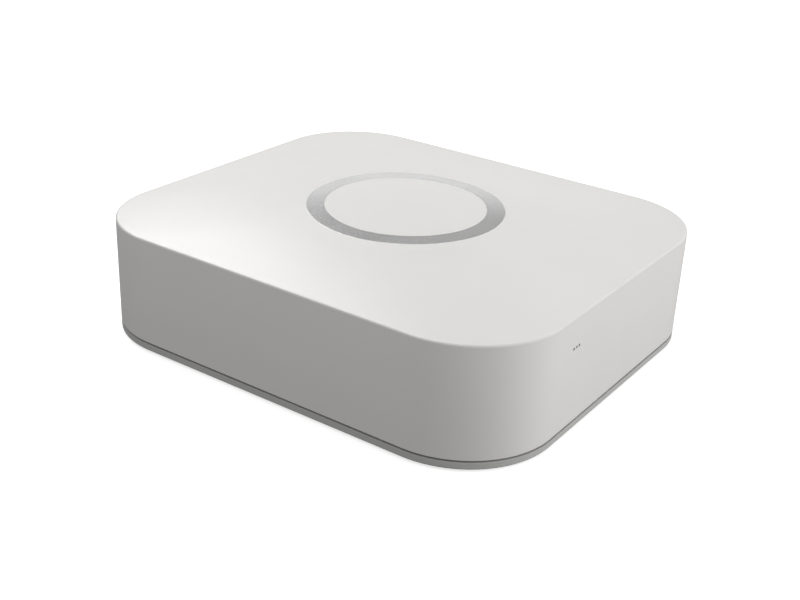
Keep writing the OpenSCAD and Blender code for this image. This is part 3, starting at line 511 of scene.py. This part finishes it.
def cutter_cylinder(centre, r, length):
    """Cylinder along Y to cut with."""
    bm = bmesh.new()
    bmesh.ops.create_cone(bm, cap_ends=True, segments=32, radius1=r, radius2=r, depth=length)
    bmesh.ops.rotate(bm, cent=(0, 0, 0), matrix=Matrix.Rotation(math.pi / 2, 3, "X"), verts=bm.verts)
    bmesh.ops.translate(bm, vec=centre, verts=bm.verts)
    return cutter_object(bm)


def cutter_object(bm):
    """Object of a cutter's bmesh; cut_with removes it again."""
    mesh = bpy.data.meshes.new("cutter")
    bm.to_mesh(mesh)
    bm.free()
    cutter = bpy.data.objects.new("cutter", mesh)
    bpy.context.scene.collection.objects.link(cutter)
    return cutter


def node_centre(node):
    """Middle of a CAD node's box."""
    low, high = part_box(node)
    return (low + high) / 2


def socket_cutter(node, gap=0.3 * MM, corner=0.6 * MM):
    """Cutter for a socket's window in the rear wall, a gap wider than the socket all round."""
    low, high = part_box(node)
    centre = node_centre(node)
    size = (high.x - low.x + 2 * gap, 4 * WALL, high.z - low.z + 2 * gap)
    return cutter_box((centre.x, BODY_D / 2, centre.z), size, corner)


PIPE_CENTRE = node_centre("light_pipe")
INDICATOR_Z = 22.1 * MM
INDICATOR_PITCH = 1.2 * MM
INDICATOR_R = 0.35 * MM
PINHOLE_R = 0.9 * MM
OUTER_LEVEL = 0.62


def make_top_shell():
    """White shell: walls, edge, crown and the groove for the ring, then its holes and windows."""
    lip = 0.25 * MM
    ring_z = crown_z(RING_OUTER, 0) - 0.9 * MM
    groove_out, groove_in = RING_OUTER + RING_GAP, RING_INNER - RING_GAP
    soft = 0.04 * MM
    # A loop close beside each soft edge keeps the edge's shading off the crown
    outer_circle = circle_of(groove_out + 2 * soft, crown_z)
    start = crown_rings(1.0, OUTER_LEVEL, 1)[-1]
    roof = SHELL_TOP - WALL - CROWN
    inner_w, inner_d, inner_r = BODY_W - 2 * WALL, BODY_D - 2 * WALL, CORNER_R - WALL
    rings = [
        ring_of(inner_w, inner_d, inner_r, roof),
        ring_of(inner_w, inner_d, inner_r, SHELL_LOW.z + lip),
        ring_of(inner_w + 2 * lip, inner_d + 2 * lip, inner_r + lip, SHELL_LOW.z),
        ring_of(BODY_W - 2 * lip, BODY_D - 2 * lip, CORNER_R - lip, SHELL_LOW.z),
        ring_of(BODY_W - 0.3 * lip, BODY_D - 0.3 * lip, CORNER_R - 0.15 * lip, SHELL_LOW.z + 0.3 * lip),
        ring_of(BODY_W, BODY_D, CORNER_R, SHELL_LOW.z + lip),
        *fillet_rings(),
        *crown_rings(1.0, OUTER_LEVEL, 12)[1:],
        *to_circle(start, outer_circle, 8),
        circle_of(groove_out + soft, crown_z),
        circle_of(groove_out, lambda x, y: crown_z(x, y, soft)),
        circle_of(groove_out, ring_z),
        circle_of(groove_in, ring_z),
        circle_of(groove_in, lambda x, y: crown_z(x, y, soft)),
        *[circle_of(r, crown_z) for r in (groove_in - soft, groove_in - 2 * soft,
                                          0.9 * groove_in, 0.75 * groove_in,
                                          0.6 * groove_in, 0.45 * groove_in, 0.3 * groove_in,
                                          0.15 * groove_in, 0.04 * groove_in)],
    ]
    bm = lofted(rings)
    shell = to_piece("top_shell_piece", bm, "shell", "hub", ("top_shell",), smooth=50)
    holes = [
        cutter_cylinder((PIPE_CENTRE.x + place * INDICATOR_PITCH, -BODY_D / 2, INDICATOR_Z),
                        INDICATOR_R, 4 * WALL)
        for place in (-1, 0, 1)
    ]
    pin = node_centre("reset_plunger")
    cut_with(shell, [
        *holes,
        socket_cutter("ethernet_shell"), socket_cutter("usb_shell"), socket_cutter("dc_housing"),
        cutter_cylinder((pin.x, BODY_D / 2, pin.z), PINHOLE_R, 4 * WALL),
    ])
    shell.data.set_sharp_from_angle(angle=math.radians(50))


def make_ring():
    """Ring that lies in the shell's groove and follows the crown."""
    soft = 0.04 * MM
    low = crown_z(RING_OUTER, 0) - 0.85 * MM

    def top(x, y):
        return crown_z(x, y, RING_RECESS)

    def edge(x, y):
        return crown_z(x, y, RING_RECESS + soft * 0.8)

    # A loop close beside each soft edge keeps the edge's shading off the flat of the ring
    first, last = RING_OUTER - 2 * soft, RING_INNER + 2 * soft
    widths = [RING_OUTER - soft, *[first + (last - first) * k / 4 for k in range(5)], RING_INNER + soft]
    rings = [
        circle_of(RING_OUTER, low),
        circle_of(RING_OUTER, edge),
        circle_of(RING_OUTER - 0.3 * soft, lambda x, y: crown_z(x, y, RING_RECESS + soft * 0.25)),
        *[circle_of(r, top) for r in widths],
        circle_of(RING_INNER + 0.3 * soft, lambda x, y: crown_z(x, y, RING_RECESS + soft * 0.25)),
        circle_of(RING_INNER, edge),
        circle_of(RING_INNER, low),
    ]
    bm = lofted(rings, closed_start=False, closed_end=False)
    ends = [e for e in bm.edges if e.is_boundary]
    bmesh.ops.bridge_loops(bm, edges=ends)
    to_piece("ring_trim_piece", bm, "ring", "hub", ("ring_trim",), smooth=40)


# ---------------------------------------------------------------- studio

# Degrees, metres and, for the lens, millimetres on a sensor 36 mm wide
CAMERA_AZIMUTH = -55.83
CAMERA_ELEVATION = 25.22
CAMERA_ROLL = 2.68
CAMERA_TARGET = Vector((-17.61, -11.55, 16.6)) * MM
CAMERA_DISTANCE = 286.85 * MM
CAMERA_LENS = 54.1755


def make_camera():
    """Camera at the front left, a hand's height above the hub and turned slightly."""
    azimuth, elevation, roll = map(math.radians, (CAMERA_AZIMUTH, CAMERA_ELEVATION, CAMERA_ROLL))
    back = Vector((
        math.sin(azimuth) * math.cos(elevation), -math.cos(azimuth) * math.cos(elevation), math.sin(elevation)
    ))
    right = (-back).cross(Vector((0, 0, 1))).normalized()
    up = right.cross(-back)
    across = right * math.cos(roll) + up * math.sin(roll)
    above = -right * math.sin(roll) + up * math.cos(roll)
    data = bpy.data.cameras.new("camera")
    data.sensor_width = 36
    data.lens = CAMERA_LENS
    data.clip_start = 0.01
    data.clip_end = 50
    camera = bpy.data.objects.new("camera", data)
    camera.matrix_world = Matrix((
        (across.x, above.x, back.x, 0),
        (across.y, above.y, back.y, 0),
        (across.z, above.z, back.z, 0),
        (0, 0, 0, 1),
    ))
    camera.location = CAMERA_TARGET + back * CAMERA_DISTANCE
    bpy.context.scene.collection.objects.link(camera)
    bpy.context.scene.camera = camera


def softbox(name, azimuth, elevation, power, width=0.5, height=0.5, distance=0.9, mirrored=True):
    """Softbox aimed at the hub; azimuth 0 is the front, 90 the right. Only a mirrored one shows in gloss."""
    turn, rise = math.radians(azimuth), math.radians(elevation)
    level = math.cos(rise)
    towards = Vector((math.sin(turn) * level, -math.cos(turn) * level, math.sin(rise)))
    data = bpy.data.lights.new(name, "AREA")
    data.shape = "RECTANGLE"
    data.size = width
    data.size_y = height
    data.energy = power
    lamp = bpy.data.objects.new(name, data)
    lamp.location = towards * distance + Vector((0, 0, 0.02))
    lamp.rotation_mode = "QUATERNION"
    lamp.rotation_quaternion = (-towards).to_track_quat("-Z", "Y")
    lamp.visible_camera = False
    lamp.visible_glossy = mirrored
    bpy.context.scene.collection.objects.link(lamp)


def white_sweep():
    """Matte white sweep: paler far out, and seen from above only, so that the underside can be looked at."""
    m = Nodes("white_sweep")
    m.set(base_color=(0.85, 0.85, 0.85, 1), roughness=0.9, emission_color=(1, 1, 1, 1))
    away = m.add("ShaderNodeVectorMath", operation="LENGTH")
    m.link(m.place, away.inputs[0])
    m.link(m.ramp(away.outputs["Value"], 0.15, 0.8, 0.62, 1.0), m.shader.inputs["Emission Strength"])
    facing = m.add("ShaderNodeNewGeometry").outputs["Backfacing"]
    blend = m.add("ShaderNodeMixShader")
    m.link(facing, blend.inputs[0])
    m.link(m.shader.outputs["BSDF"], blend.inputs[1])
    m.link(m.add("ShaderNodeBsdfTransparent").outputs["BSDF"], blend.inputs[2])
    m.link(blend.outputs["Shader"], m.tree.nodes["Material Output"].inputs["Surface"])
    return m.material


def make_studio():
    """Floor that sweeps up into a wall all round, five softboxes and an even sky."""
    bm = bmesh.new()
    corner = [(3 + math.sin(math.radians(a)), 1 - math.cos(math.radians(a))) for a in range(0, 91, 10)]
    profile = [(0, 0), (0.5, 0), *corner, (4, 4)]
    verts = [bm.verts.new((x, 0, z)) for x, z in profile]
    edges = [bm.edges.new(pair) for pair in zip(verts, verts[1:])]
    bmesh.ops.spin(bm, geom=verts + edges, cent=(0, 0, 0), axis=(0, 0, 1),
                   angle=2 * math.pi, steps=64, use_merge=True)
    bmesh.ops.remove_doubles(bm, verts=bm.verts, dist=0.0001)
    bmesh.ops.recalc_face_normals(bm, faces=bm.faces)
    bm.normal_update()
    if max(bm.faces, key=lambda face: abs(face.normal.z)).normal.z < 0:
        bmesh.ops.reverse_faces(bm, faces=bm.faces)
    mesh = bpy.data.meshes.new("floor")
    bm.to_mesh(mesh)
    bm.free()
    mesh.shade_smooth()
    mesh.materials.append(white_sweep())
    floor = bpy.data.objects.new("floor", mesh)
    floor.visible_diffuse = False
    floor.visible_glossy = False
    bpy.context.scene.collection.objects.link(floor)
    world = bpy.data.worlds.new("studio")
    world.use_nodes = True
    world.node_tree.nodes["Background"].inputs["Color"].default_value = (1, 1, 1, 1)
    world.node_tree.nodes["Background"].inputs["Strength"].default_value = 0.3
    bpy.context.scene.world = world
    # Not mirrored: seen low from the rear, it would wash the top out to white
    softbox("front", 28, 16, 6.0, 0.9, 0.45, mirrored=False)
    softbox("key", 153, 46, 3.4, 0.45, 0.45)
    softbox("left", 270, 60, 1.95, 0.7, 0.7)
    softbox("rear", 150, 28, 0.5, 0.3, 0.3)
    softbox("rim", 125, 14, 0.22, 0.6, 0.2)


make_camera()
make_studio()
make_top_shell()
make_ring()

# CAD nodes shown as they are: finish and material slot
PLAIN = {
    "light_pipe": ("pipe", "clear_pipe"),
    "battery_cells": ("sleeve", "cell_sleeve"),
    "battery_springs": ("spring", "spring_steel"),
}
# CAD nodes whose edges are softened: finish, material slot and width of the softening in millimetres
SOFT = {
    "chassis": ("chassis", "chassis_dark", 0.15),
    "battery_plates": ("spring", "spring_steel", 0.08),
    "main_board": ("board", "board_green", 0.08),
    "processor": ("chip", "chip_black", 0.1),
    "thermal_pad": ("pad", "pad_grey", 0.15),
    "memory_chips": ("chip", "chip_black", 0.08),
    "processor_shield": ("can", "can_steel", 0.12),
    "power_chips": ("chip", "chip_black", 0.08),
    "crystals": ("can", "can_steel", 0.12),
    "mesh_radio": ("blue_board", "board_blue", 0.06),
    "long_range_radio": ("board", "board_green", 0.06),
    "radio_shields": ("can", "can_steel", 0.12),
    "antennas": ("spring", "spring_steel", 0.06),
    "inductors": ("ferrite", "ferrite_dark", 0.25),
    "capacitors": ("capacitor", "capacitor_can", 0.15),
    "ethernet_shell": ("can", "can_steel", 0.1),
    "ethernet_insert": ("black", "socket_black", 0.1),
    "ethernet_contacts": ("gold", "contact_gold", 0.04),
    "ethernet_magnetics": ("chip", "chip_black", 0.15),
    "usb_shell": ("can", "can_steel", 0.12),
    "usb_insert": ("pale", "socket_pale", 0.1),
    "usb_contacts": ("gold", "contact_gold", 0.03),
    "dc_housing": ("black", "socket_black", 0.12),
    "dc_pin": ("spring", "spring_steel", 0.05),
    "dc_spring": ("spring", "spring_steel", 0.04),
    "status_led": ("lamp", "lamp_white", 0.12),
    "reset_switch": ("chip", "chip_black", 0.1),
    "case_screws": ("screw", "screw_steel", 0.06),
    "board_screws": ("screw", "screw_steel", 0.05),
}

for node, (finish, slot) in PLAIN.items():
    NODES[node].data.materials.clear()
    NODES[node].data.materials.append(FINISH[finish])

for node, (finish, slot, width) in SOFT.items():
    softened(node, finish, width * MM)

softened("bottom_cover", "cover", 0.2 * MM, 3, body="cover")
softened("feet", "rubber", 0.25 * MM, 3, body="cover")
softened("rating_label", "label", 0.03 * MM, 1, body="cover")
softened("reset_plunger", "button", 0.15 * MM, 3, body="reset_button")

bpy.context.scene.view_settings.view_transform = "Standard"
